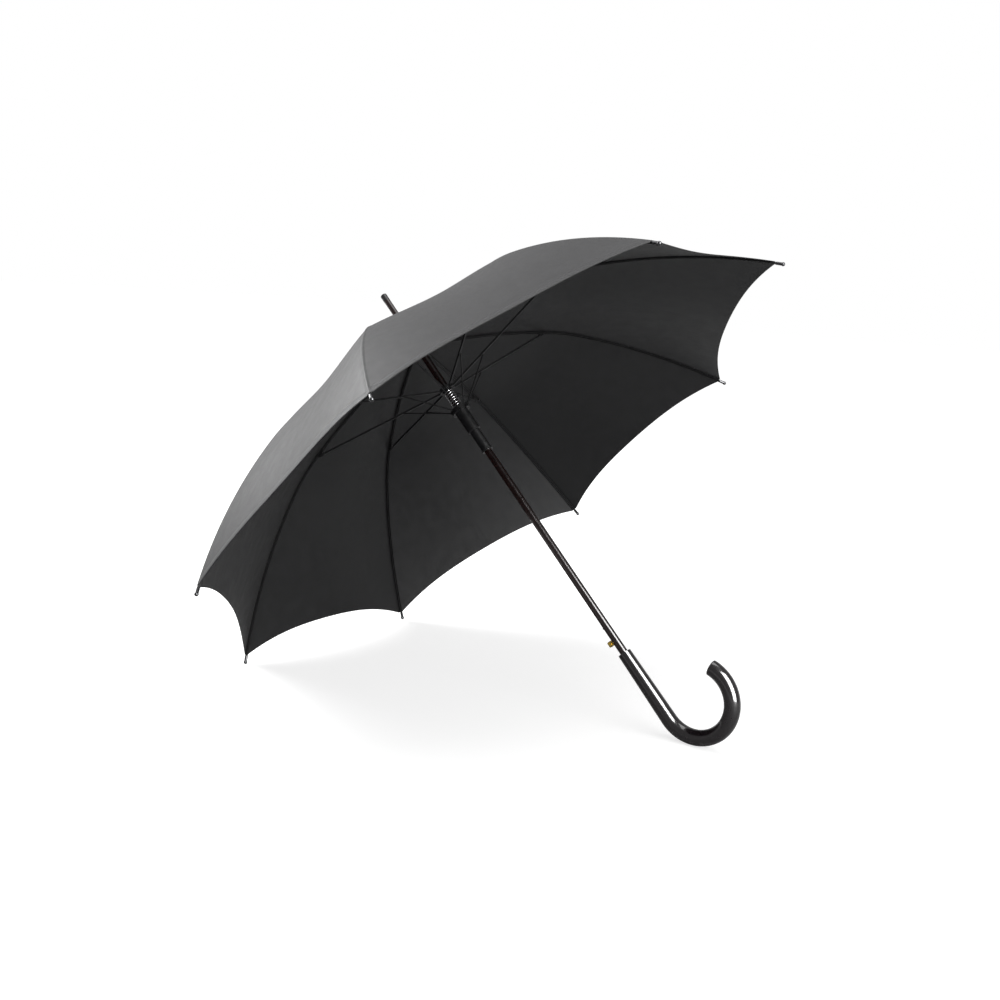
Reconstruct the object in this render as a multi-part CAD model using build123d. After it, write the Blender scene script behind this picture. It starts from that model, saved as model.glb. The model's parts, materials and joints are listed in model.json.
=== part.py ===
from build123d import *
import os
from math import acos, asin, atan, atan2, cos, degrees, hypot, radians, sin, tan

# A stick umbrella with a spring-opened frame and a crook handle, lying open on a floor.
# Millimetres and degrees. Every piece is drawn in the umbrella's own frame: the shaft is the Z
# axis, the ribs' crown pivots lie in the plane Z = 0, the ferrule points to +Z and the crook
# curls towards +X. At the end the umbrella is laid down, so that the floor is the plane Z = 0,
# the handle points to +X and the umbrella is symmetric about the plane Y = 0.

# ---------------------------------------------------------------- driving dimensions
RIB_COUNT = 8
SECTOR = 360 / RIB_COUNT
HALF_SECTOR = SECTOR / 2

# A rib is three tangent arcs. Its slope below the horizontal is given at the crown pivot, at the
# stretcher's pivot, past the shoulder and at the tip, with the chord of each arc between.
RIB_SLOPES = (4.0, 17.6, 30.4, 48.8)
RIB_CHORDS = (229.0, 71.0, 279.0)
CROWN_PIVOT_R = 10.0
RIB_WIDTH = 3.4
RIB_HEIGHT = 3.0
RIB_WALL = 0.6
TONGUE_WIDTH = 1.3
TONGUE_LENGTH = 8.0
TONGUE_HEIGHT = 2.8
EYE_R = 1.6
RUNNING_GAP = 0.08
CUT_MARGIN = 1.0

TIP_LENGTH = 13.0
TIP_BALL_R = 3.0
TIP_NECK_R = 2.4
TIP_SOCKET = 5.0

STRETCHER_WIDTH = 2.2
STRETCHER_HEIGHT = 3.0
FORK_CHEEK = 0.7
FORK_REACH = 11.0
FORK_BASE = 4.0
RIVET_R = 0.8
RIVET_HEAD_R = 1.5
RIVET_HEAD_HEIGHT = 0.5

LINK_PIVOT_ON_STRETCHER = 71.0
LINK_THICKNESS = 1.2
LINK_HEIGHT = 2.0
LINK_SIDE_GAP = 0.35
RUNNER_SPACING = 39.0
LOWER_PIVOT_R = 12.0
FOLD_TRAVEL = 62.8

SHAFT_R = 6.0
SHAFT_WALL = 0.6
SHAFT_TOP = 1.5
SHAFT_BOTTOM = -640.0
WIRE_R = 0.6
SLOT_WIDTH = 1.9
SLOT_FLOOR_R = 7.4

NOTCH_R = 14.0
NOTCH_TOP = 1.7
NOTCH_BOTTOM = -4.0
WASHER_R = 17.0
WASHER_THICKNESS = 0.8
WASHER_Z = 3.5
WASHER_BORE_R = 6.6

FERRULE_R = 5.0
FERRULE_BASE_R = 8.5
FERRULE_BASE_Z = 4.8
FERRULE_SHOULDER_Z = 9.0
FERRULE_NECK_Z = 24.0
FERRULE_END_Z = 98.0
FERRULE_SPIGOT = 30.0
FERRULE_BORE_R = 3.6
FERRULE_CAP_R = 5.2
FERRULE_CAP_END_Z = 110.0
FERRULE_CAP_EDGE = 1.0
FERRULE_PLUG = 8.0

UPPER_FLANGE_R = 13.0
UPPER_FLANGE_ABOVE = 3.0
UPPER_FLANGE_BELOW = 2.2
UPPER_SLEEVE_R = 8.8
UPPER_SLEEVE_BELOW = 4.0

LOWER_FLANGE_R = 15.0
LOWER_FLANGE_ABOVE = 2.5
LOWER_FLANGE_BELOW = 5.0
LOWER_SLOT_FLOOR_R = 9.6
LOWER_BODY_R = 10.5
LOWER_STEP_Z = -168.0
LOWER_STEP_RISE = 1.5
LOWER_NECK_R = 8.2
LOWER_BEAD_R = 8.9
LOWER_BEAD_HEIGHT = 3.0
LOWER_END_Z = -206.0

SPRING_R = 7.6
SPRING_WIRE_R = 0.7
SPRING_TURNS = 7
SPRING_END_GAP = 0.1

BUTTON_Z = -555.0
BUTTON_LENGTH = 8.5
BUTTON_WIDTH = 6.6
BUTTON_INNER_R = 8.6
BUTTON_OUTER_R = 14.0
BUTTON_STEM_R = 1.8
BUTTON_CORNER_R = 1.6
BUTTON_EDGE_R = 1.2
TOOTH_Z = -530.0
TOOTH_LENGTH = 4.0
TOOTH_WIDTH = 2.2
TOOTH_OUTER_R = 7.8
TOOTH_STEP = 1.0
TOOTH_SIDE_GAP = 0.1
TOOTH_END_GAP = 0.2
CATCH_CUT_DEPTH = 4.0
CATCH_WINDOW_LENGTH = 7.0
CATCH_WINDOW_WIDTH = 4.0
LEAF_R = 4.2
LEAF_THICKNESS = 0.6
LEAF_WIDTH = 4.0
LEAF_TOP_Z = -505.0
LEAF_BEND_Z = -575.0
LEAF_END_Z = -625.0
LEAF_END_R = 4.9

HANDLE_TOP_Z = -577.0
HANDLE_TOP_R = 10.0
HANDLE_R = 11.5
HANDLE_EDGE = 1.2
BEND_START_Z = -690.0
BEND_R = 54.0
BEND_ANGLE = 207.0

FABRIC_THICKNESS = 0.6
FABRIC_ABOVE_RIB = 0.9
FABRIC_EDGE_R = 506.0
SCALLOP_R = 447.0
CROWN_HOLE_R = 7.0
GORE_GAP = 0.3
PANEL_START_R = 4.0
PANEL_OVERREACH = 1.1
COLUMN_DEPTH = 300.0
COLUMN_TOP = 20.0

STRAP_GORE = 2
STRAP_LENGTH = 150.0
STRAP_WIDTH = 18.0
STRAP_START_R = 270.0
STRAP_SIDE = -60.0
STRAP_GAP = 0.4
STRAP_THICKNESS = 1.2
SNAP_R = 5.5
SNAP_HEIGHT = 2.2
SNAP_FROM_END = 12.0

# ---------------------------------------------------------------- geometry worked out from them
FABRIC_LOW = RIB_HEIGHT / 2 + FABRIC_ABOVE_RIB
FABRIC_HIGH = FABRIC_LOW + FABRIC_THICKNESS
RIB_PIVOT_SLOPE = radians((RIB_SLOPES[0] + RIB_SLOPES[1]) / 2)
STRETCHER_LENGTH = RIB_CHORDS[0]
OPEN_ANGLE = radians(90) - RIB_PIVOT_SLOPE
CLOSED_ANGLE = OPEN_ANGLE - radians(FOLD_TRAVEL)
UPPER_PIVOT_Z = -2 * STRETCHER_LENGTH * cos(OPEN_ANGLE)
LOWER_PIVOT_Z = UPPER_PIVOT_Z - RUNNER_SPACING
LINK_SIDE = STRETCHER_WIDTH / 2 + LINK_SIDE_GAP + LINK_THICKNESS / 2


def rib_arcs():
    """The rib's arcs, each as start slope, end slope, centre and radius, and the rib's tip."""
    x, z = CROWN_PIVOT_R, 0.0
    arcs = []
    for first, last, chord in zip(RIB_SLOPES, RIB_SLOPES[1:], RIB_CHORDS):
        s0, s1 = radians(first), radians(last)
        radius = chord / (2 * sin((s1 - s0) / 2))
        cx, cz = x - radius * sin(s0), z - radius * cos(s0)
        arcs.append((s0, s1, cx, cz, radius))
        x, z = cx + radius * sin(s1), cz + radius * cos(s1)
    return arcs, (x, z)


RIB_ARCS, RIB_TIP = rib_arcs()
FIRST_SLOPE = RIB_ARCS[0][0]
LAST_SLOPE = RIB_ARCS[-1][1]


def slope_from_crown(length):
    """The slope at a length along the rib from the crown pivot, within the first arc."""
    return FIRST_SLOPE + length / RIB_ARCS[0][4]


def slope_from_tip(length):
    """The slope at a length along the rib back from the tip, within the last arc."""
    return LAST_SLOPE - length / RIB_ARCS[-1][4]


def arcs_between(offset, start, end):
    """Arcs at a height above the rib's centre line, from one slope to another, in the XZ plane."""
    edges = []
    for number, (s0, s1, cx, cz, radius) in enumerate(RIB_ARCS):
        first = start if number == 0 else max(s0, start)
        last = min(s1, end)
        if first < last:
            slopes = (first, (first + last) / 2, last)
            points = [(cx + (radius + offset) * sin(s), 0, cz + (radius + offset) * cos(s)) for s in slopes]
            edges.append(ThreePointArc(*points))
    return edges


def band(low, high, start, end):
    """The face between two heights above the rib's centre line."""
    upper = arcs_between(high, start, end)
    lower = arcs_between(low, start, end)
    ends = [Line(upper[0] @ 0, lower[0] @ 0), Line(upper[-1] @ 1, lower[-1] @ 1)]
    return Face(Wire(upper + lower + ends))


def wide(face, width):
    """A face in the XZ plane given a width, half to each side."""
    return extrude(face, amount=width / 2, dir=(0, 1, 0), both=True)


def across(x, z, radius, width, side=0.0):
    """A round rod along Y through a point of the XZ plane."""
    return Pos(x, side, z) * Rot(90, 0, 0) * Cylinder(radius, width)


def bar(start, end, height, width, side=0.0):
    """A straight bar in the XZ plane from one point to another."""
    dx, dz = end[0] - start[0], end[1] - start[1]
    middle = Pos((start[0] + end[0]) / 2, side, (start[1] + end[1]) / 2)
    return middle * Rot(0, -degrees(atan2(dz, dx)), 0) * Box(hypot(dx, dz), width, height)


def along(start, end, distance):
    """The point at a distance from one point towards another."""
    share = distance / hypot(end[0] - start[0], end[1] - start[1])
    return start[0] + (end[0] - start[0]) * share, start[1] + (end[1] - start[1]) * share


def around(piece, azimuth):
    """A piece drawn at azimuth 0 turned about the shaft."""
    return Rot(0, 0, azimuth) * piece


def sector_slots(floor_r, outer_r, low, high, side=0.0):
    """The radial slots of a runner or notch, one for each rib."""
    depth = outer_r + 2 * CUT_MARGIN - floor_r
    slot = Box(depth, SLOT_WIDTH, high - low + 2 * CUT_MARGIN)
    slot = Pos(floor_r + depth / 2, side, (low + high) / 2) * slot
    return [around(slot, azimuth) for azimuth in AZIMUTHS]


def turned(*profile):
    """A solid of revolution about the shaft from (radius, height) points."""
    outline = Polyline(*[(r, 0, z) for r, z in profile], close=True)
    return revolve(make_face(outline), axis=Axis.Z)


AZIMUTHS = [HALF_SECTOR + SECTOR * number for number in range(RIB_COUNT)]
CROWN_PIVOT = (CROWN_PIVOT_R, 0.0)
RIB_PIVOT = along(CROWN_PIVOT, (CROWN_PIVOT_R + cos(RIB_PIVOT_SLOPE), -sin(RIB_PIVOT_SLOPE)), RIB_CHORDS[0])
UPPER_PIVOT = (CROWN_PIVOT_R, UPPER_PIVOT_Z)
LOWER_PIVOT = (LOWER_PIVOT_R, LOWER_PIVOT_Z)
LINK_PIVOT = along(UPPER_PIVOT, RIB_PIVOT, LINK_PIVOT_ON_STRETCHER)
LINK_LENGTH = hypot(LINK_PIVOT[0] - LOWER_PIVOT[0], LINK_PIVOT[1] - LOWER_PIVOT[1])

# The closed frame: where the runners stop, and how far each link turns on its stretcher.
UPPER_CLOSED_Z = -2 * STRETCHER_LENGTH * cos(CLOSED_ANGLE)
LINK_OPEN_ANGLE = asin((LINK_PIVOT[0] - LOWER_PIVOT_R) / LINK_LENGTH)
LINK_CLOSED_X = CROWN_PIVOT_R + LINK_PIVOT_ON_STRETCHER * sin(CLOSED_ANGLE)
LINK_CLOSED_ANGLE = asin((LINK_CLOSED_X - LOWER_PIVOT_R) / LINK_LENGTH)
LOWER_CLOSED_Z = UPPER_CLOSED_Z + LINK_PIVOT_ON_STRETCHER * cos(CLOSED_ANGLE) - LINK_LENGTH * cos(LINK_CLOSED_ANGLE)
LOWER_DROP = LOWER_PIVOT_Z - LOWER_CLOSED_Z


# ---------------------------------------------------------------- frame: ribs, stretchers, links
def rib():
    """A fluted steel rib: a channel open underneath, with a flat tongue and eye at the crown."""
    start = slope_from_crown(TONGUE_LENGTH)
    end = slope_from_tip(TIP_LENGTH - TIP_SOCKET)
    half = RIB_HEIGHT / 2
    body = wide(band(-half, half, start, end), RIB_WIDTH)
    flute_start = slope_from_crown(TONGUE_LENGTH + FORK_BASE)
    flute = wide(band(-half - CUT_MARGIN, half - RIB_WALL, flute_start, LAST_SLOPE), RIB_WIDTH - 2 * RIB_WALL)
    tongue_end = (CROWN_PIVOT_R + TONGUE_LENGTH + 1, -(TONGUE_LENGTH + 1) * sin(start))
    tongue = bar(CROWN_PIVOT, tongue_end, TONGUE_HEIGHT, TONGUE_WIDTH)
    eye = across(*CROWN_PIVOT, EYE_R, TONGUE_WIDTH)
    hole = across(*CROWN_PIVOT, WIRE_R + RUNNING_GAP, RIB_WIDTH)
    rivet_hole = across(*RIB_PIVOT, RIVET_R + RUNNING_GAP, 2 * RIB_WIDTH)
    return (body - flute) + tongue + eye - hole - rivet_hole


def rib_tip(rib_solid):
    """A moulded end cap with a ball end, socketed over the rib's end."""
    profile = [
        (0, 0),
        (TIP_NECK_R, 0),
        (TIP_NECK_R, TIP_SOCKET),
        (TIP_BALL_R * 0.8, TIP_LENGTH - TIP_BALL_R * 1.6),
        (0, TIP_LENGTH - TIP_BALL_R),
    ]
    ball = Pos(0, 0, TIP_LENGTH - TIP_BALL_R) * Sphere(TIP_BALL_R)
    cap = turned(*profile) + ball
    base = (RIB_TIP[0] - TIP_LENGTH * cos(LAST_SLOPE), RIB_TIP[1] + TIP_LENGTH * sin(LAST_SLOPE))
    return Pos(base[0], 0, base[1]) * Rot(0, 90 + degrees(LAST_SLOPE), 0) * cap - rib_solid


def rivet(point, width, side=0.0):
    """A headed rivet along Y."""
    shank = across(*point, RIVET_R, width, side)
    heads = [
        across(*point, RIVET_HEAD_R, RIVET_HEAD_HEIGHT, side + end * (width + RIVET_HEAD_HEIGHT) / 2)
        for end in (-1, 1)
    ]
    return shank + heads[0] + heads[1]


def stretcher():
    """A stretcher, with its eye on the upper runner, its fork over the rib and its two rivets."""
    fork_gap = RIB_WIDTH / 2 + LINK_SIDE_GAP
    fork_side = fork_gap + FORK_CHEEK / 2
    fork_width = 2 * (fork_gap + FORK_CHEEK)
    bar_start = along(UPPER_PIVOT, RIB_PIVOT, TONGUE_LENGTH)
    bar_end = along(UPPER_PIVOT, RIB_PIVOT, STRETCHER_LENGTH - FORK_REACH)
    base_end = along(UPPER_PIVOT, RIB_PIVOT, STRETCHER_LENGTH - FORK_REACH - FORK_BASE)
    tongue_end = along(UPPER_PIVOT, RIB_PIVOT, TONGUE_LENGTH + 1)
    body = bar(bar_start, bar_end, STRETCHER_HEIGHT, STRETCHER_WIDTH)
    body += bar(base_end, bar_end, STRETCHER_HEIGHT, fork_width)
    body += bar(UPPER_PIVOT, tongue_end, TONGUE_HEIGHT, TONGUE_WIDTH)
    body += across(*UPPER_PIVOT, EYE_R, TONGUE_WIDTH)
    for side in (-fork_side, fork_side):
        body += bar(bar_end, RIB_PIVOT, STRETCHER_HEIGHT, FORK_CHEEK, side)
        body += across(*RIB_PIVOT, EYE_R, FORK_CHEEK, side)
    body -= across(*UPPER_PIVOT, WIRE_R + RUNNING_GAP, 2 * STRETCHER_WIDTH)
    body -= across(*RIB_PIVOT, RIVET_R, 2 * fork_width)
    body -= across(*LINK_PIVOT, RIVET_R, 2 * fork_width)
    link_rivet_low = -STRETCHER_WIDTH / 2
    link_rivet_high = LINK_SIDE + LINK_THICKNESS / 2 + LINK_SIDE_GAP / 2
    link_rivet_side = (link_rivet_low + link_rivet_high) / 2
    rivets = [
        rivet(RIB_PIVOT, fork_width),
        rivet(LINK_PIVOT, link_rivet_high - link_rivet_low, link_rivet_side),
    ]
    return Compound([body.solid(), rivets[0].solid(), rivets[1].solid()])


def link():
    """A thin link beside its stretcher, from the stretcher down to the lower runner."""
    body = bar(LINK_PIVOT, LOWER_PIVOT, LINK_HEIGHT, LINK_THICKNESS, LINK_SIDE)
    for point in (LINK_PIVOT, LOWER_PIVOT):
        body += across(*point, EYE_R, LINK_THICKNESS, LINK_SIDE)
    for point in (LINK_PIVOT, LOWER_PIVOT):
        body -= across(*point, RIVET_R + RUNNING_GAP, 4 * LINK_THICKNESS, LINK_SIDE)
    return body


def wire_ring(height):
    """The wire ring that a runner's or notch's eyes turn on."""
    return Pos(0, 0, height) * Torus(CROWN_PIVOT_R, WIRE_R)


def wire_groove(height):
    """The space that a wire ring takes in its runner or notch."""
    return Pos(0, 0, height) * Torus(CROWN_PIVOT_R, WIRE_R + RUNNING_GAP / 2)


# ---------------------------------------------------------------- shaft, notch, runners
def top_notch():
    body = turned(
        (SHAFT_R, NOTCH_BOTTOM), (NOTCH_R, NOTCH_BOTTOM), (NOTCH_R, NOTCH_TOP), (SHAFT_R, NOTCH_TOP)
    )
    for slot in sector_slots(SLOT_FLOOR_R, NOTCH_R, NOTCH_BOTTOM, NOTCH_TOP):
        body -= slot
    return body - wire_groove(0)


def crown_washer():
    """A shallow cone that holds the fabric down at the crown."""
    fall = (WASHER_R - SHAFT_R) * sin(FIRST_SLOPE)
    return turned(
        (WASHER_BORE_R, WASHER_Z), (WASHER_R, WASHER_Z - fall),
        (WASHER_R, WASHER_Z - fall + WASHER_THICKNESS), (WASHER_BORE_R, WASHER_Z + WASHER_THICKNESS),
    )


def shaft_tube():
    """The steel tube, with the catch's two openings through its underside."""
    inner_r = SHAFT_R - SHAFT_WALL
    body = turned(
        (inner_r, SHAFT_BOTTOM), (SHAFT_R, SHAFT_BOTTOM), (SHAFT_R, SHAFT_TOP), (inner_r, SHAFT_TOP)
    )
    stem_hole = Pos(-SHAFT_R, 0, BUTTON_Z) * Rot(0, 90, 0) * Cylinder(BUTTON_STEM_R + RUNNING_GAP, CATCH_CUT_DEPTH)
    slot_size = (CATCH_CUT_DEPTH, TOOTH_WIDTH + 2 * TOOTH_SIDE_GAP, TOOTH_LENGTH + 2 * TOOTH_END_GAP)
    tooth_slot = Pos(-SHAFT_R, 0, TOOTH_Z) * Box(*slot_size)
    return body - stem_hole - tooth_slot


def ferrule():
    """The turned point above the canopy, with a spigot down into the shaft tube."""
    spigot_r = SHAFT_R - SHAFT_WALL
    return turned(
        (FERRULE_BORE_R, SHAFT_TOP - FERRULE_SPIGOT), (spigot_r, SHAFT_TOP - FERRULE_SPIGOT),
        (spigot_r, FERRULE_BASE_Z), (FERRULE_BASE_R, FERRULE_BASE_Z),
        (FERRULE_BASE_R, FERRULE_SHOULDER_Z), (FERRULE_R, FERRULE_NECK_Z),
        (FERRULE_R, FERRULE_END_Z), (FERRULE_BORE_R, FERRULE_END_Z),
    )


def ferrule_cap():
    """The black end piece, with a plug into the ferrule's bore."""
    plug_z = FERRULE_END_Z - FERRULE_PLUG
    edge = FERRULE_CAP_EDGE
    return turned(
        (0, plug_z), (FERRULE_BORE_R, plug_z), (FERRULE_BORE_R, FERRULE_END_Z),
        (FERRULE_CAP_R, FERRULE_END_Z), (FERRULE_CAP_R, FERRULE_CAP_END_Z - edge),
        (FERRULE_CAP_R - edge, FERRULE_CAP_END_Z), (0, FERRULE_CAP_END_Z),
    )


def upper_runner():
    bore_r = SHAFT_R + RUNNING_GAP
    top = UPPER_PIVOT_Z + UPPER_FLANGE_ABOVE
    low = UPPER_PIVOT_Z - UPPER_FLANGE_BELOW
    bottom = UPPER_PIVOT_Z - UPPER_SLEEVE_BELOW
    body = turned(
        (bore_r, bottom), (UPPER_SLEEVE_R, bottom), (UPPER_SLEEVE_R, low), (UPPER_FLANGE_R, low),
        (UPPER_FLANGE_R, top), (bore_r, top),
    )
    for slot in sector_slots(SLOT_FLOOR_R, UPPER_FLANGE_R, bottom, top):
        body -= slot
    return body - wire_groove(UPPER_PIVOT_Z)


def lower_runner():
    """The main runner: a slotted flange, a wide body, a narrower neck and the catch's window."""
    bore_r = SHAFT_R + RUNNING_GAP
    top = LOWER_PIVOT_Z + LOWER_FLANGE_ABOVE
    low = LOWER_PIVOT_Z - LOWER_FLANGE_BELOW
    bead = LOWER_END_Z + LOWER_BEAD_HEIGHT
    body = turned(
        (bore_r, LOWER_END_Z), (LOWER_BEAD_R, LOWER_END_Z), (LOWER_BEAD_R, bead), (LOWER_NECK_R, bead),
        (LOWER_NECK_R, LOWER_STEP_Z), (LOWER_BODY_R, LOWER_STEP_Z + LOWER_STEP_RISE), (LOWER_BODY_R, low),
        (LOWER_FLANGE_R, low), (LOWER_FLANGE_R, top), (bore_r, top),
    )
    for slot in sector_slots(LOWER_SLOT_FLOOR_R, LOWER_FLANGE_R, low, top, LINK_SIDE):
        body -= slot
    window_z = TOOTH_Z + LOWER_DROP
    window_depth = 2 * (LOWER_NECK_R - bore_r) + 2 * CUT_MARGIN
    window = Box(window_depth, CATCH_WINDOW_WIDTH, CATCH_WINDOW_LENGTH)
    window = Pos(-LOWER_NECK_R, 0, window_z) * window
    return body - window


def main_spring():
    """The opening spring, which pushes the two runners apart."""
    top = UPPER_PIVOT_Z - UPPER_SLEEVE_BELOW - SPRING_WIRE_R - SPRING_END_GAP
    bottom = LOWER_PIVOT_Z + LOWER_FLANGE_ABOVE + SPRING_WIRE_R + SPRING_END_GAP
    height = top - bottom
    path = Pos(0, 0, bottom) * Helix(pitch=height / SPRING_TURNS, height=height, radius=SPRING_R)
    section = Plane(origin=path @ 0, z_dir=path % 0) * Circle(SPRING_WIRE_R)
    return sweep(section, path=path, is_frenet=True)


# ---------------------------------------------------------------- catch and handle
def push_button():
    """The brass release button on its stem."""
    height = BUTTON_OUTER_R - BUTTON_INNER_R
    head = Box(height, BUTTON_WIDTH, BUTTON_LENGTH)
    head = fillet(head.edges().filter_by(Axis.X), BUTTON_CORNER_R)
    head = fillet(head.faces().sort_by(Axis.X)[0].edges(), BUTTON_EDGE_R)
    head = Pos(-(BUTTON_INNER_R + BUTTON_OUTER_R) / 2, 0, BUTTON_Z) * head
    stem_length = BUTTON_INNER_R - LEAF_R
    stem = Pos(-LEAF_R - stem_length / 2, 0, BUTTON_Z) * Rot(0, 90, 0) * Cylinder(BUTTON_STEM_R, stem_length)
    return head + stem


def catch_tooth():
    """The catch that holds the closed runner: a ramp below and a square shoulder above."""
    top = TOOTH_Z + TOOTH_LENGTH / 2
    bottom = TOOTH_Z - TOOTH_LENGTH / 2
    outline = Polyline(
        (-LEAF_R, 0, bottom), (-LEAF_R, 0, top), (-SHAFT_R, 0, top), (-TOOTH_OUTER_R, 0, bottom + TOOTH_STEP),
        (-TOOTH_OUTER_R, 0, bottom), close=True,
    )
    return wide(make_face(outline), TOOTH_WIDTH)


def catch_leaf_spring():
    """The leaf inside the tube: straight under the catch, then bent to the opposite wall."""
    inner = LEAF_R - LEAF_THICKNESS
    outline = Polyline(
        (-LEAF_R, 0, LEAF_TOP_Z), (-inner, 0, LEAF_TOP_Z), (-inner, 0, LEAF_BEND_Z),
        (LEAF_END_R, 0, LEAF_END_Z), (LEAF_END_R - LEAF_THICKNESS, 0, LEAF_END_Z),
        (-LEAF_R, 0, LEAF_BEND_Z), close=True,
    )
    return wide(make_face(outline), LEAF_WIDTH)


def crook_handle():
    """The handle: a slightly flared straight grip and a round bend with a flat end."""
    grip = turned(
        (0, BEND_START_Z), (HANDLE_R, BEND_START_Z), (HANDLE_TOP_R, HANDLE_TOP_Z), (0, HANDLE_TOP_Z)
    )
    section = Plane(origin=(0, 0, BEND_START_Z), z_dir=(0, 0, -1)) * Circle(HANDLE_R)
    bend_axis = Axis((BEND_R, 0, BEND_START_Z), (0, -1, 0))
    bend = revolve(section, axis=bend_axis, revolution_arc=BEND_ANGLE)
    end_angle = radians(BEND_ANGLE)
    end = Vector(BEND_R - BEND_R * cos(end_angle), 0, BEND_START_Z - BEND_R * sin(end_angle))
    bend = fillet(bend.faces().sort_by_distance(end)[0].edges(), HANDLE_EDGE)
    depth = HANDLE_TOP_Z - SHAFT_BOTTOM
    bore = Pos(0, 0, HANDLE_TOP_Z - depth / 2) * Cylinder(SHAFT_R, depth)
    return grip + bend - bore


# ---------------------------------------------------------------- canopy
def panel_skin(low, high, side):
    """The skin of the panel beside a rib: the rib's line carried straight towards the next rib."""
    face = band(low, high, slope_from_crown(PANEL_START_R - CROWN_PIVOT_R), LAST_SLOPE)
    azimuth = radians(90 + HALF_SECTOR)
    reach = RIB_TIP[0] * sin(radians(HALF_SECTOR)) * PANEL_OVERREACH
    return extrude(face, amount=reach, dir=(cos(azimuth), side * sin(azimuth), 0))


def gore_region():
    """The plan of one gore: a sector with a scalloped hem and a hole round the shaft."""
    far = 2 * FABRIC_EDGE_R
    apex = GORE_GAP / 2 / sin(radians(HALF_SECTOR))
    across_far = (far - apex) * sin(radians(HALF_SECTOR)) / cos(radians(HALF_SECTOR))
    plan = make_face(Polyline((apex, 0), (far, -across_far), (far, across_far), close=True))
    half = radians(HALF_SECTOR)
    centre = (FABRIC_EDGE_R**2 - SCALLOP_R**2) / (2 * (FABRIC_EDGE_R * cos(half) - SCALLOP_R))
    for side in (-1, 1):
        plan -= Pos(centre * cos(half), side * centre * sin(half)) * Circle(centre - SCALLOP_R)
    return plan - Circle(CROWN_HOLE_R)


def column(plan):
    """A plan carried through the whole height of the canopy."""
    return Pos(0, 0, -COLUMN_DEPTH) * extrude(plan, amount=COLUMN_DEPTH + COLUMN_TOP)


def canopy_gore():
    """The fabric over one rib, from the middle of one panel to the middle of the next."""
    skin = panel_skin(FABRIC_LOW, FABRIC_HIGH, 1) + panel_skin(FABRIC_LOW, FABRIC_HIGH, -1)
    return skin & column(gore_region())


def tie_strap():
    """The closing strap, laid along the outside of the fabric."""
    low = FABRIC_HIGH + STRAP_GAP
    skin = panel_skin(low, low + STRAP_THICKNESS, -1)
    plan = Pos(STRAP_START_R + STRAP_LENGTH / 2, STRAP_SIDE) * Rectangle(STRAP_LENGTH, STRAP_WIDTH)
    return skin & column(plan)


def tie_snap():
    """The strap's snap fastener, standing on the strap near its free end."""
    low = FABRIC_HIGH + STRAP_GAP + STRAP_THICKNESS
    skin = panel_skin(low, low + SNAP_HEIGHT, -1)
    plan = Pos(STRAP_START_R + STRAP_LENGTH - SNAP_FROM_END, STRAP_SIDE) * Circle(SNAP_R)
    return skin & column(plan)


# ---------------------------------------------------------------- laying the umbrella down
def lay_tilt():
    """The shaft's angle above the floor, with two rib tips and the crook's bend on the floor."""
    ball_x = RIB_TIP[0] - TIP_BALL_R * cos(LAST_SLOPE)
    ball_z = RIB_TIP[1] + TIP_BALL_R * sin(LAST_SLOPE)
    dx = BEND_R + ball_x * cos(radians(HALF_SECTOR))
    dz = BEND_START_Z - ball_z
    rise = BEND_R + HANDLE_R - TIP_BALL_R
    return degrees(acos(rise / hypot(dx, dz)) - atan2(-dz, dx))


TILT = lay_tilt()
TURN = Rot(0, TILT - 90, 0)


def build_nodes():
    """Every node of the umbrella, in its own frame."""
    nodes = {
        "shaft_tube": shaft_tube(),
        "ferrule": ferrule(),
        "ferrule_cap": ferrule_cap(),
        "top_notch": top_notch(),
        "top_notch_wire": wire_ring(0),
        "crown_washer": crown_washer(),
        "crook_handle": crook_handle(),
        "push_button": push_button(),
        "catch_tooth": catch_tooth(),
        "catch_leaf_spring": catch_leaf_spring(),
        "upper_runner": upper_runner(),
        "upper_runner_wire": wire_ring(UPPER_PIVOT_Z),
        "main_spring": main_spring(),
        "lower_runner": lower_runner(),
    }
    one_rib = rib()
    one_tip = rib_tip(one_rib)
    shared = {
        "rib": one_rib,
        "rib_tip": one_tip,
        "stretcher": stretcher(),
        "link": link(),
        "canopy_gore": canopy_gore(),
    }
    for number, azimuth in enumerate(AZIMUTHS, start=1):
        for name, piece in shared.items():
            nodes[f"{name}_{number}"] = around(piece, azimuth)
    strap_azimuth = AZIMUTHS[STRAP_GORE - 1]
    nodes["tie_strap"] = around(tie_strap(), strap_azimuth)
    nodes["tie_snap"] = around(tie_snap(), strap_azimuth)
    return nodes


def lay_shift():
    """The move that puts the origin on the floor, under the middle of the whole umbrella."""
    tilt, half = radians(TILT), radians(HALF_SECTOR)
    back_slope = atan(cos(half) * tan(tilt))
    cx, cz, radius = RIB_ARCS[-1][2:]
    reach = radius + FABRIC_HIGH
    fabric_x = -cos(half) * (cx + reach * sin(back_slope))
    fabric_z = cz + reach * cos(back_slope)
    crook_r = BEND_R + HANDLE_R
    back = fabric_x * sin(tilt) - fabric_z * cos(tilt)
    front = BEND_R * sin(tilt) - BEND_START_Z * cos(tilt) + crook_r
    floor = BEND_R * cos(tilt) + BEND_START_Z * sin(tilt) - crook_r
    return -(back + front) / 2, 0, -floor


SHIFT = lay_shift()
LAY = Pos(*SHIFT) * TURN
os.makedirs("parts", exist_ok=True)
for node_name, node_shape in build_nodes().items():
    export_step(LAY * node_shape, f"parts/{node_name}.step")
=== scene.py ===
import json
import math

import bpy
import numpy as np
from mathutils import Matrix, Vector


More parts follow.
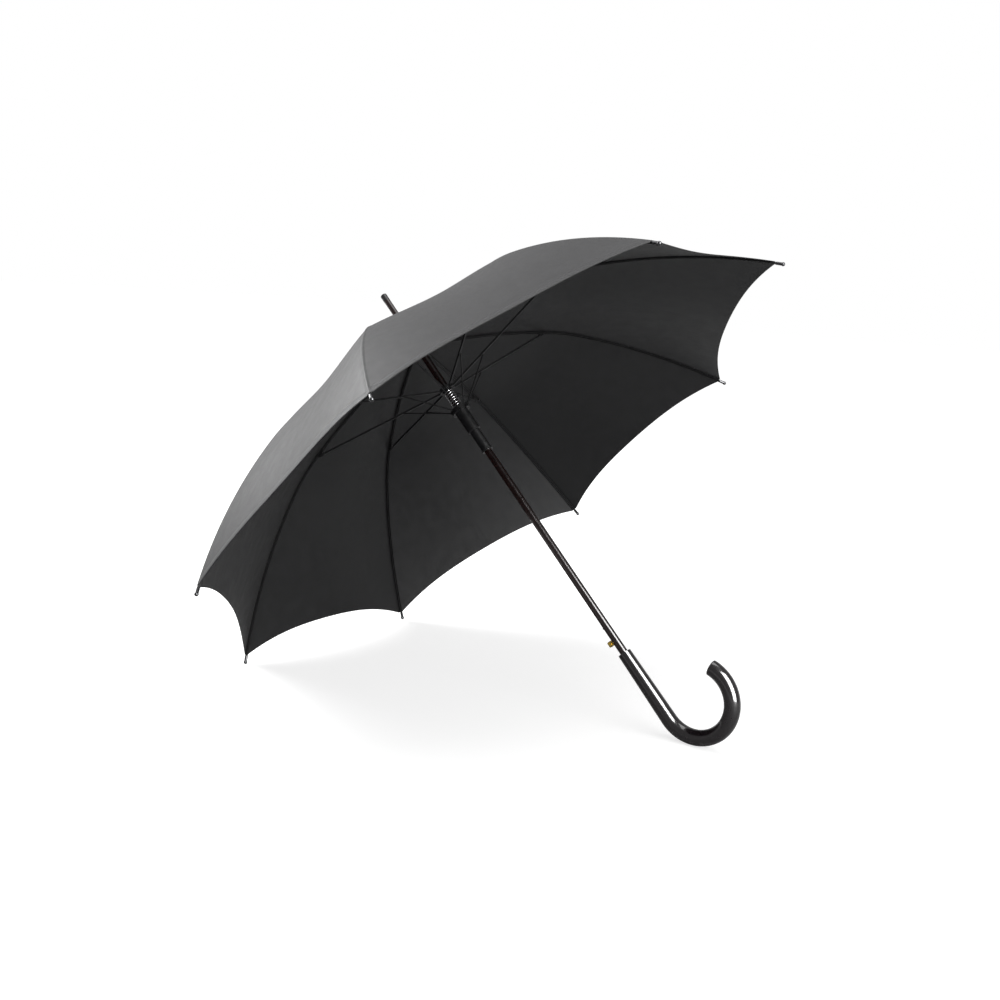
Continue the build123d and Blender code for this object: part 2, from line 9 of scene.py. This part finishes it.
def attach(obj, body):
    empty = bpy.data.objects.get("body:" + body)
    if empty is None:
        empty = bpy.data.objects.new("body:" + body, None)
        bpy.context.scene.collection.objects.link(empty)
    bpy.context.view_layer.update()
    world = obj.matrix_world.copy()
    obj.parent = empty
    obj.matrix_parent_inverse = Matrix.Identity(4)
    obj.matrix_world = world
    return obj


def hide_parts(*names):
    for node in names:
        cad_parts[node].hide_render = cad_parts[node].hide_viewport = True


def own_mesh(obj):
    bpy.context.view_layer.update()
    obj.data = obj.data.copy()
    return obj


# The open stick umbrella. The canopy, tie strap, snap, opening spring and leaf spring are made here
# over the CAD frame. Every other piece is the CAD piece with a procedural material. Metres
# throughout.

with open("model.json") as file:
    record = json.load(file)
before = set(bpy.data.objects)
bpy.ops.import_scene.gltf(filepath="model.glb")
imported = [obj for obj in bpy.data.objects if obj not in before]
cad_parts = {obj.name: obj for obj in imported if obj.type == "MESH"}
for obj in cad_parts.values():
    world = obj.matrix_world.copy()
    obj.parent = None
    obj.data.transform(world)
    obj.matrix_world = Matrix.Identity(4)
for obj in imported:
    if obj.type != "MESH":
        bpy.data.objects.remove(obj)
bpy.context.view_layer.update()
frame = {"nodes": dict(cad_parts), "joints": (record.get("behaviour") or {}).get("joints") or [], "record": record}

# ---------------------------------------------------------------- the umbrella's own axes
JOINTS = {joint["name"]: joint for joint in frame["joints"]}
RIB_NUMBERS = sorted(int(name.split("_")[1]) for name in JOINTS if name.endswith("_fold"))
HALF_SECTOR = math.pi / len(RIB_NUMBERS)
PIVOTS = [np.array(JOINTS[f"rib_{number}_fold"]["pos_m"]) for number in RIB_NUMBERS]
FIRST_HINGE_AXIS = np.array(JOINTS[f"rib_{RIB_NUMBERS[0]}_fold"]["axis"])
CROWN = sum(PIVOTS) / len(PIVOTS)
ACROSS = np.array((0.0, 1.0, 0.0))
AXIAL = np.cross(PIVOTS[0] - CROWN, FIRST_HINGE_AXIS)
AXIAL = AXIAL / np.linalg.norm(AXIAL)
SIDEWAYS = np.cross(ACROSS, AXIAL)
AXES = np.array((SIDEWAYS, ACROSS, AXIAL))


def own(points):
    """Points of the row frame in the umbrella's axes, with the crown at the origin."""
    return (np.asarray(points) - CROWN) @ AXES.T


def laid(points):
    """Points in the umbrella's axes put back in the row frame."""
    return CROWN + np.asarray(points) @ AXES


def vertices(node):
    """A CAD node's points in the umbrella's axes."""
    return own([vertex.co for vertex in frame["nodes"][node].data.vertices])


def swung(x, y, turn):
    """Plan positions turned about the shaft."""
    return x * math.cos(turn) - y * math.sin(turn), x * math.sin(turn) + y * math.cos(turn)


def azimuth_of(number):
    """The direction of a rib round the shaft."""
    x, y, _ = own(JOINTS[f"rib_{number}_fold"]["pos_m"])
    return math.atan2(y, x)


def beside_rib(node, number):
    """A node's points as distance along a rib's direction, distance to its side, and height."""
    x, y, height = vertices(node).T
    along, aside = swung(x, y, -azimuth_of(number))
    return along, aside, height


# ---------------------------------------------------------------- sizes taken from the frame
RIB_READ_STEP = 0.01
PANEL_EDGE = 0.985


def lies_under(point, start, end):
    """Whether a point lies on or below the line from start to end."""
    run, rise = end[0] - start[0], end[1] - start[1]
    return (point[1] - start[1]) * run <= rise * (point[0] - start[0])


def rib_top():
    """The rib's top line as radii, heights and slopes, read from the CAD rib's upper hull."""
    radius, _, height = beside_rib("rib_1", 1)
    hull = []
    for point in sorted(zip(radius, height)):
        while len(hull) > 1 and lies_under(hull[-1], hull[-2], point):
            hull.pop()
        hull.append(point)
    line = [hull[0]]
    for point in hull:
        if point[0] > line[-1][0] + RIB_READ_STEP:
            line.append(point)
    x, z = np.array(line[1:]).T
    return x, z, np.gradient(z, x, edge_order=2)


def canopy_reach():
    """The fabric's radius at a rib, at the middle of a panel and at the crown, from a CAD gore."""
    x, y, _ = beside_rib("canopy_gore_1", 1)
    radius = np.hypot(x, y)
    at_edge = np.abs(np.arctan2(y, x)) > HALF_SECTOR * PANEL_EDGE
    return radius.max(), radius[at_edge].max(), radius.min()


RIB_TOP = rib_top()
HEM_AT_RIB, HEM_AT_MIDDLE, CROWN_HOLE = canopy_reach()


def rib_height(radius):
    """The height of the rib's top line at a radius: a smooth curve through the points read."""
    x, z, slope = RIB_TOP
    first = np.clip(np.searchsorted(x, radius) - 1, 0, len(x) - 2)
    span = x[first + 1] - x[first]
    share = np.clip((radius - x[first]) / span, 0, 1)
    beyond = radius - x[first] - share * span
    start = z[first] * (1 + 2 * share) + slope[first] * span * share
    end = z[first + 1] * (3 - 2 * share) - slope[first + 1] * span * (1 - share)
    edge = np.where(share < 0.5, slope[first], slope[first + 1])
    return start * (1 - share) ** 2 + end * share**2 + edge * beyond


def hem_radius(turn):
    """The hem's radius at an angle from the rib: one round scallop between two ribs."""
    reach = HEM_AT_RIB * math.cos(HALF_SECTOR)
    centre = (HEM_AT_RIB**2 - HEM_AT_MIDDLE**2) / (2 * (reach - HEM_AT_MIDDLE))
    scallop = centre - HEM_AT_MIDDLE
    along = centre * np.cos(HALF_SECTOR - np.abs(turn))
    return along - np.sqrt(along**2 - centre**2 + scallop**2)


# ---------------------------------------------------------------- chosen sizes
FABRIC_GAP = 0.0009
FABRIC_THICKNESS = 0.0005
PANEL_SAG = 0.006
SAG_REACH = 0.62
PANEL_COLUMNS = 22
PANEL_ROWS = 44
SMOOTH_ANGLE = 50

# Lines of the grid beside a rib, as shares of SEAM_HALF. The first SEAM_RAISED of them are raised.
SEAM_HALF = 0.0026
SEAM_HEIGHT = 0.0005
SEAM_LINES = np.array((0.0, 0.55, 1.0, 1.5))
SEAM_RAISED = 2
SEAM_MOST = 0.45

# Lines of the grid along the hem, as shares of HEM_WIDTH in from the edge.
HEM_WIDTH = 0.007
HEM_HEIGHT = 0.0004
HEM_LINES = np.array((1.3, 1.0, 0.93, 0.5, 0.12, 0.0))
HEM_RAISED = 0.95


# ---------------------------------------------------------------- sheets
def fabric_height(x, y):
    """The fabric's underside over a point beside a rib, ruled to the next rib and drawn in a little."""
    turn = np.abs(np.arctan2(y, x))
    radius = np.hypot(x, y)
    at_rib = radius * np.cos(HALF_SECTOR - turn) / math.cos(HALF_SECTOR)
    share = np.clip(turn / HALF_SECTOR, 0, 1)
    along = np.clip(radius / HEM_AT_RIB, 0, 1)
    sag = PANEL_SAG * np.sin(along * math.pi * SAG_REACH) * (1 - np.cos(share * math.pi)) / 2
    return rib_height(at_rib) + FABRIC_GAP - sag


def ring_faces(rows, columns):
    """The faces of two layers of a grid and of the rim that joins them."""
    count = rows * columns
    faces = []
    for row in range(rows - 1):
        for column in range(columns - 1):
            corner = row * columns + column
            quad = (corner, corner + 1, corner + columns + 1, corner + columns)
            faces.append(quad)
            faces.append(tuple(count + point for point in reversed(quad)))
    edge = list(range(columns))
    edge += [row * columns + columns - 1 for row in range(1, rows)]
    edge += [(rows - 1) * columns + column for column in range(columns - 2, -1, -1)]
    edge += [row * columns for row in range(rows - 2, 0, -1)]
    for here, following in zip(edge, edge[1:] + edge[:1]):
        faces.append((following, here, count + here, count + following))
    return faces


def mesh_object(name, points, faces, flat=None):
    """A new smooth-shaded mesh, with the cloth's flat measures as its texture coordinates."""
    mesh = bpy.data.meshes.new(name)
    mesh.from_pydata([tuple(point) for point in points], [], faces)
    mesh.update()
    mesh.shade_smooth()
    mesh.set_sharp_from_angle(angle=math.radians(SMOOTH_ANGLE))
    if flat is not None:
        layer = mesh.uv_layers.new(name="flat")
        for loop in mesh.loops:
            layer.data[loop.index].uv = flat[loop.vertex_index]
    made = bpy.data.objects.new(name, mesh)
    bpy.context.scene.collection.objects.link(made)
    return made


def grid_size(points, rows, columns):
    """A grid's greatest width, its greatest length and its area."""
    grid = points.reshape(rows, columns, 3)
    across = np.linalg.norm(np.diff(grid, axis=1), axis=2).sum(axis=1).max()
    length = np.linalg.norm(np.diff(grid, axis=0), axis=2).sum(axis=0).max()
    falling = grid[1:, 1:] - grid[:-1, :-1]
    rising = grid[1:, :-1] - grid[:-1, 1:]
    area = np.linalg.norm(np.cross(falling, rising), axis=2).sum() / 2
    return float(across), float(length), float(area)


def sheet_object(name, x, y, low, high, azimuth):
    """A closed thin sheet from grids of plan positions beside a rib and its two heights.

    It comes with its width, length and area.
    """
    rows, columns = x.shape
    plan = swung(x, y, azimuth)
    layers = [np.stack((*plan, height), axis=-1).reshape(-1, 3) for height in (high, low)]
    flat = np.tile(np.stack((x, y), axis=-1).reshape(-1, 2), (2, 1))
    sheet = mesh_object(name, laid(np.concatenate(layers)), ring_faces(rows, columns), flat)
    return sheet, grid_size(layers[0], rows, columns)


def fold_flat(piece, number):
    """A piece rides its rib."""
    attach(piece, f"rib_{number}")
    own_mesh(piece)


# ---------------------------------------------------------------- the canopy
def half_gore():
    """Half a gore's grid, from its rib to the middle of a panel: places along and aside, and rises."""
    seam = SEAM_LINES * SEAM_HALF
    panel = np.linspace(0, 1, PANEL_COLUMNS)[1:]
    hem = hem_radius(np.concatenate((np.zeros(len(seam)), panel * HALF_SECTOR)))
    shares = np.linspace(0, 1, PANEL_ROWS, endpoint=False)[:, None]
    insets = HEM_LINES[:, None] * HEM_WIDTH
    radius = np.vstack((CROWN_HOLE + (hem - insets[0] - CROWN_HOLE) * shares, hem - insets))
    widest = SEAM_MOST * radius * math.sin(HALF_SECTOR)

    beside, seam_most = radius[:, : len(seam)], widest[:, : len(seam)]
    seam_y = np.minimum(seam, seam_most * seam / seam[-1])
    seam_x = np.sqrt(beside**2 - seam_y**2)

    beyond, start_most = radius[:, len(seam) :], widest[:, len(seam) :]
    start = np.arcsin(np.minimum(seam[-1], start_most) / beyond)
    turn = start + (HALF_SECTOR - start) * panel

    rise = np.where(hem - radius < HEM_WIDTH * HEM_RAISED, HEM_HEIGHT, 0.0)
    rise[:, :SEAM_RAISED] = SEAM_HEIGHT
    x = np.hstack((seam_x, beyond * np.cos(turn)))
    y = np.hstack((seam_y, beyond * np.sin(turn)))
    return x, y, rise


def with_mirror(half, sign=1):
    """A whole grid from its half, with the line on the rib kept once."""
    return np.hstack((sign * half[:, :0:-1], half))


def canopy_gore(number):
    """One gore, from the middle of a panel over its rib to the middle of the next panel."""
    x, y, rise = half_gore()
    x, y, rise = with_mirror(x), with_mirror(y, -1), with_mirror(rise)
    low = fabric_height(x, y)
    high = low + FABRIC_THICKNESS + rise
    gore, (width, length, area) = sheet_object(f"gore_{number}", x, y, low, high, azimuth_of(number))
    fold_flat(gore, number)
    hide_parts(f"canopy_gore_{number}")
    return gore


gores = [canopy_gore(number) for number in RIB_NUMBERS]


# ---------------------------------------------------------------- the tie strap and its snap
STRAP_GAP = 0.0007
STRAP_THICKNESS = 0.001
STRAP_ROWS = 40
STRAP_COLUMNS = 9
SLOPE_STEP = 0.001
LATHE_SIDES = 48

# The snap's outline, from its foot to its top, as radii and heights in shares of its radius.
SNAP_OUTLINE = (
    (1.0, -0.03),
    (1.0, 0.14),
    (0.93, 0.2),
    (0.72, 0.2),
    (0.66, 0.17),
    (0.6, 0.24),
    (0.3, 0.34),
    (0.05, 0.36),
)

BODIES = frame["record"]["behaviour"]["bodies"]
STRAP_RIB = next(number for number in RIB_NUMBERS if "tie_strap" in BODIES[f"rib_{number}"])


def strap_height(x, y):
    """The strap's underside, a little above the fabric."""
    return fabric_height(x, y) + FABRIC_THICKNESS + STRAP_GAP


def tie_strap():
    """The closing strap, lying on the outside of the canopy."""
    along, aside, _ = beside_rib("tie_strap", STRAP_RIB)
    lengths = np.linspace(along.min(), along.max(), STRAP_ROWS)
    widths = np.linspace(aside.min(), aside.max(), STRAP_COLUMNS)
    x, y = np.meshgrid(lengths, widths, indexing="ij")
    low = strap_height(x, y)
    high = low + STRAP_THICKNESS
    strap, (width, length, area) = sheet_object("strap", x, y, low, high, azimuth_of(STRAP_RIB))
    fold_flat(strap, STRAP_RIB)
    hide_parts("tie_strap")
    return strap


def join_rings(faces, rings, sides):
    """Adds the faces of a tube of equal rings of points, closed at both ends."""
    for ring in range(rings - 1):
        for side in range(sides):
            here = ring * sides + side
            beside = ring * sides + (side + 1) % sides
            faces.append((here, beside, beside + sides, here + sides))
    faces.append(tuple(range(sides - 1, -1, -1)))
    faces.append(tuple(range((rings - 1) * sides, rings * sides)))


def lathe(outline, centre, axis):
    """Points and faces of a solid turned about an axis from (radius, height) pairs."""
    axis = Vector(axis).normalized()
    first = axis.orthogonal().normalized()
    second = axis.cross(first)
    points, faces = [], []
    for radius, height in outline:
        for step in range(LATHE_SIDES):
            angle = 2 * math.pi * step / LATHE_SIDES
            out = first * math.cos(angle) + second * math.sin(angle)
            points.append(Vector(centre) + axis * height + out * radius)
    join_rings(faces, len(outline), LATHE_SIDES)
    return points, faces


def tie_snap():
    """The snap's domed cap on the strap."""
    along, aside, _ = beside_rib("tie_snap", STRAP_RIB)
    radius = (aside.max() - aside.min()) / 2
    x, y = (along.min() + along.max()) / 2, (aside.min() + aside.max()) / 2
    height = float(strap_height(x, y)) + STRAP_THICKNESS
    ahead, behind = strap_height(x + SLOPE_STEP, y), strap_height(x - SLOPE_STEP, y)
    left, right = strap_height(x, y + SLOPE_STEP), strap_height(x, y - SLOPE_STEP)
    slope_x = float(ahead - behind) / (2 * SLOPE_STEP)
    slope_y = float(left - right) / (2 * SLOPE_STEP)
    turn = azimuth_of(STRAP_RIB)
    base = laid((*swung(x, y, turn), height))
    axis = laid((*swung(-slope_x, -slope_y, turn), 1.0)) - CROWN
    outline = [(radius * out, radius * up) for out, up in SNAP_OUTLINE]
    points, faces = lathe(outline, base, axis)
    snap = mesh_object("snap", points, faces)
    fold_flat(snap, STRAP_RIB)
    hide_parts("tie_snap")
    return snap


strap = tie_strap()
snap = tie_snap()


# ---------------------------------------------------------------- the opening spring and the leaf
SPRING_TURNS = 7
SPRING_WIRE = 0.0007
SPRING_SIDES = 12
SPRING_STEPS = 40


def coil(radius, low, high):
    """Points and faces of a round wire wound evenly about the shaft between two heights."""
    steps = SPRING_TURNS * SPRING_STEPS
    points, faces = [], []
    for step in range(steps + 1):
        share = step / steps
        angle = 2 * math.pi * SPRING_TURNS * share
        z = low + (high - low) * share
        for side in range(SPRING_SIDES):
            turn = 2 * math.pi * side / SPRING_SIDES
            out = radius + SPRING_WIRE * math.cos(turn)
            rise = SPRING_WIRE * math.sin(turn)
            points.append((out * math.cos(angle), out * math.sin(angle), z + rise))
    join_rings(faces, steps + 1, SPRING_SIDES)
    return points, faces


def opening_spring():
    """The coil between the two runners, riding the upper runner."""
    x, y, z = vertices("main_spring").T
    radius = np.hypot(x, y).max() - SPRING_WIRE
    low, high = z.min() + SPRING_WIRE, z.max() - SPRING_WIRE
    points, faces = coil(radius, low, high)
    spring = mesh_object("spring_coil", laid(points), faces)
    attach(spring, "upper_runner")
    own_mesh(spring)
    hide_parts("main_spring")
    return spring


def leaf_spring():
    """The catch's leaf, riding the catch."""
    node = "catch_leaf_spring"
    leaf = bpy.data.objects.new("leaf_spring", frame["nodes"][node].data.copy())
    bpy.context.scene.collection.objects.link(leaf)
    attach(leaf, "catch")
    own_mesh(leaf)
    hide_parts(node)
    return leaf


spring = opening_spring()
leaf = leaf_spring()


# ---------------------------------------------------------------- materials
NOISE_LOW = 0.3
NOISE_HIGH = 0.7
GRAIN = 140.0
BROAD_TO_GRAIN = 12
GLOSS_SPREAD = 0.15
THREAD_SCALE = 420.0
PUCKER_SCALE = 60.0


class Shader:
    """A node tree with one Principled shader, and short ways to add and join nodes."""

    def __init__(self, name):
        self.material = bpy.data.materials.new(name)
        self.material.use_nodes = True
        self.tree = self.material.node_tree
        self.principled = self.tree.nodes["Principled BSDF"]

    def fill(self, socket, value):
        """Joins a socket to another node's output, or sets its value."""
        if isinstance(value, bpy.types.NodeSocket):
            self.tree.links.new(value, socket)
        else:
            socket.default_value = value

    def node(self, kind, inputs=None, **settings):
        made = self.tree.nodes.new(kind)
        for key, value in settings.items():
            setattr(made, key, value)
        for key, value in (inputs or {}).items():
            self.fill(made.inputs[key], value)
        return made

    def set(self, **values):
        for key, value in values.items():
            self.fill(self.principled.inputs[key.replace("_", " ")], value)

    def noise(self, scale, detail=4.0, roughness=0.55, coordinates=None):
        where = coordinates or self.node("ShaderNodeTexCoord").outputs["Object"]
        inputs = {"Vector": where, "Scale": scale, "Detail": detail, "Roughness": roughness}
        return self.node("ShaderNodeTexNoise", inputs).outputs["Fac"]

    def between(self, factor, low, high):
        inputs = {"Value": factor, "From Min": NOISE_LOW, "From Max": NOISE_HIGH}
        inputs.update({"To Min": low, "To Max": high})
        return self.node("ShaderNodeMapRange", inputs).outputs["Result"]

    def blend(self, factor, first, second):
        mix = self.node("ShaderNodeMix", {"Factor": factor}, data_type="RGBA")
        for socket in mix.inputs:
            if socket.type == "RGBA":
                socket.default_value = (*(first if socket.name == "A" else second), 1.0)
        return next(out for out in mix.outputs if out.type == "RGBA")

    def bump(self, height, distance, strength=1.0, **more):
        inputs = {"Height": height, "Distance": distance, "Strength": strength, **more}
        return self.node("ShaderNodeBump", inputs).outputs["Normal"]


def finish_material(name, dark, light, roughness, bump=0.00002, **sockets):
    """A hard finish whose colour and gloss vary slightly over the surface."""
    shader = Shader(name)
    fine = shader.noise(GRAIN)
    broad = shader.noise(GRAIN / BROAD_TO_GRAIN, detail=2.0)
    least, most = roughness * (1 - GLOSS_SPREAD), roughness * (1 + GLOSS_SPREAD)
    shader.set(Base_Color=shader.blend(broad, dark, light))
    shader.set(Roughness=shader.between(fine, least, most))
    shader.set(Normal=shader.bump(fine, bump), **sockets)
    return shader.material


def fabric_material():
    """Tight black woven cloth with a satin sheen."""
    shader = Shader("canopy_cloth")
    flat = shader.node("ShaderNodeUVMap", uv_map="flat").outputs["UV"]
    broad = shader.noise(9.0, detail=3.0, coordinates=flat)
    threads = []
    for direction in ("X", "Y"):
        inputs = {"Vector": flat, "Scale": THREAD_SCALE, "Distortion": 0.4, "Detail": 1.0}
        wave = shader.node("ShaderNodeTexWave", inputs, bands_direction=direction)
        threads.append(wave.outputs["Fac"])
    weave = shader.node("ShaderNodeMath", dict(enumerate(threads)), operation="ADD").outputs[0]
    pucker = shader.noise(PUCKER_SCALE, detail=2.0, coordinates=flat)
    soft = shader.bump(pucker, 0.0004, 0.35)
    shader.set(Base_Color=shader.blend(broad, (0.014, 0.014, 0.015), (0.02, 0.02, 0.021)))
    shader.set(Roughness=shader.between(pucker, 0.42, 0.5))
    shader.set(Normal=shader.bump(weave, 0.00004, 0.5, Normal=soft))
    shader.set(Sheen_Weight=0.06, Sheen_Roughness=0.4, Specular_IOR_Level=0.16)
    return shader.material


FABRIC = fabric_material()
PAINT = finish_material(
    "frame_enamel", (0.006, 0.006, 0.007), (0.01, 0.01, 0.011), 0.4,
    Specular_IOR_Level=0.25,
)
TIP = finish_material(
    "tip_nickel", (0.012, 0.012, 0.014), (0.024, 0.024, 0.027), 0.2,
    Metallic=0.3,
)
LACQUER = finish_material(
    "shaft_lacquer", (0.011, 0.004, 0.004), (0.02, 0.007, 0.006), 0.3,
    Specular_IOR_Level=0.1, Coat_Weight=0.6, Coat_Roughness=0.14,
)
RUNNER = finish_material(
    "runner_nylon", (0.006, 0.006, 0.007), (0.01, 0.01, 0.011), 0.42,
    Specular_IOR_Level=0.2,
)
BLACK = finish_material(
    "black_moulding", (0.006, 0.006, 0.007), (0.011, 0.011, 0.012), 0.3,
    Specular_IOR_Level=0.4,
)
HANDLE = finish_material(
    "handle_lacquer", (0.006, 0.004, 0.005), (0.011, 0.007, 0.009), 0.3, bump=0.00001,
    Specular_IOR_Level=0.1, Coat_Weight=1.0, Coat_Roughness=0.1,
)
STEEL = finish_material("bright_steel", (0.26, 0.26, 0.27), (0.4, 0.4, 0.4), 0.18, Metallic=1.0)
BRASS = finish_material("brass", (0.42, 0.29, 0.07), (0.55, 0.39, 0.1), 0.24, Metallic=1.0)

LOOKS = {
    "shaft_tube": LACQUER,
    "ferrule": LACQUER,
    "ferrule_cap": BLACK,
    "top_notch": BLACK,
    "top_notch_wire": STEEL,
    "crown_washer": BLACK,
    "crook_handle": HANDLE,
    "push_button": BRASS,
    "catch_tooth": STEEL,
    "catch_leaf_spring": STEEL,
    "upper_runner": RUNNER,
    "upper_runner_wire": STEEL,
    "lower_runner": RUNNER,
}


def look_of(node):
    """A CAD node's material, by its name or by the kind it belongs to."""
    if node in LOOKS:
        return LOOKS[node]
    return TIP if node.startswith("rib_tip") else PAINT


def dress(piece, material):
    """Gives a piece one material, in place of any it has."""
    piece.data.materials.clear()
    piece.data.materials.append(material)


for name, piece in frame["nodes"].items():
    dress(piece, look_of(name))
for piece in (*gores, strap):
    dress(piece, FABRIC)
dress(snap, BLACK)
dress(spring, STEEL)
dress(leaf, STEEL)


# ---------------------------------------------------------------- camera, light and floor
CAMERA_PLACE = (0.964, -1.483, 0.5978)
CAMERA_AZIMUTH = 34.07
CAMERA_ELEVATION = 9.58
CAMERA_ROLL = 3.92
CAMERA_LENS = 42.78

MIDDLE = (0.0, 0.0, 0.3)
WORLD_LIGHT = 0.45

FLOOR_HALF = 40.0
GLOW_NEAR = 0.71
GLOW_FAR = 0.82
GLOW_RADII = (0.9, 2.4)


def turned(degrees, axis):
    """A turn about one axis."""
    return Matrix.Rotation(math.radians(degrees), 4, axis)


def place_camera():
    """The camera where the photograph was taken from."""
    data = bpy.data.cameras.new("camera")
    data.lens = CAMERA_LENS
    camera = bpy.data.objects.new("camera", data)
    aim = turned(CAMERA_AZIMUTH, "Z") @ turned(90 - CAMERA_ELEVATION, "X") @ turned(CAMERA_ROLL, "Z")
    camera.matrix_world = Matrix.Translation(CAMERA_PLACE) @ aim
    bpy.context.scene.collection.objects.link(camera)
    bpy.context.scene.camera = camera


def soft_box(name, place, width, height, power, only_shine=False):
    """An area light that faces the object's middle. One that only shines lights no dull surface."""
    data = bpy.data.lights.new(name, "AREA")
    data.shape = "RECTANGLE"
    data.size, data.size_y = width, height
    data.energy = power
    light = bpy.data.objects.new(name, data)
    light.location = place
    light.rotation_euler = (Vector(MIDDLE) - Vector(place)).to_track_quat("-Z", "Y").to_euler()
    light.visible_diffuse = not only_shine
    bpy.context.scene.collection.objects.link(light)


def studio_world():
    """A white world that the camera sees at full strength and that lights less than that."""
    world = bpy.data.worlds.new("studio")
    world.use_nodes = True
    tree = world.node_tree
    background = tree.nodes["Background"]
    background.inputs["Color"].default_value = (1.0, 1.0, 1.0, 1.0)
    seen = tree.nodes.new("ShaderNodeLightPath")
    strength = tree.nodes.new("ShaderNodeMapRange")
    strength.inputs["To Min"].default_value = WORLD_LIGHT
    strength.inputs["To Max"].default_value = 1.0
    tree.links.new(seen.outputs["Is Camera Ray"], strength.inputs["Value"])
    tree.links.new(strength.outputs["Result"], background.inputs["Strength"])
    bpy.context.scene.world = world


def paper_material():
    """White paper that the camera sees a little brighter, so that only real shadows show on it."""
    shader = Shader("paper")
    grain = shader.noise(20.0)
    shown = shader.node("ShaderNodeLightPath").outputs["Is Camera Ray"]
    place = shader.node("ShaderNodeTexCoord").outputs["Object"]
    away = shader.node("ShaderNodeVectorMath", {0: place}, operation="LENGTH").outputs["Value"]
    limits = {"From Min": GLOW_RADII[0], "From Max": GLOW_RADII[1], "To Min": GLOW_NEAR, "To Max": GLOW_FAR}
    level = shader.node("ShaderNodeMapRange", {"Value": away, **limits}).outputs["Result"]
    glow = shader.node("ShaderNodeMath", {0: shown, 1: level}, operation="MULTIPLY").outputs[0]
    shader.set(Base_Color=shader.blend(grain, (0.49, 0.49, 0.49), (0.51, 0.51, 0.51)))
    shader.set(Roughness=0.9, Emission_Color=(1.0, 1.0, 1.0, 1.0), Emission_Strength=glow)
    return shader.material


place_camera()
soft_box("key", (-2.6, -0.4, 1.9), 2.0, 2.0, 135)
soft_box("top", (-0.2, 0.1, 3.0), 2.4, 2.4, 80)
soft_box("shine", (2.2, -0.8, 1.3), 1.7, 2.6, 520, only_shine=True)
studio_world()
bpy.context.scene.view_settings.view_transform = "Standard"

sides = ((-1, -1), (1, -1), (1, 1), (-1, 1))
corners = [(x * FLOOR_HALF, y * FLOOR_HALF, 0) for x, y in sides]
floor = mesh_object("floor", corners, [(0, 1, 2, 3)])
dress(floor, paper_material())
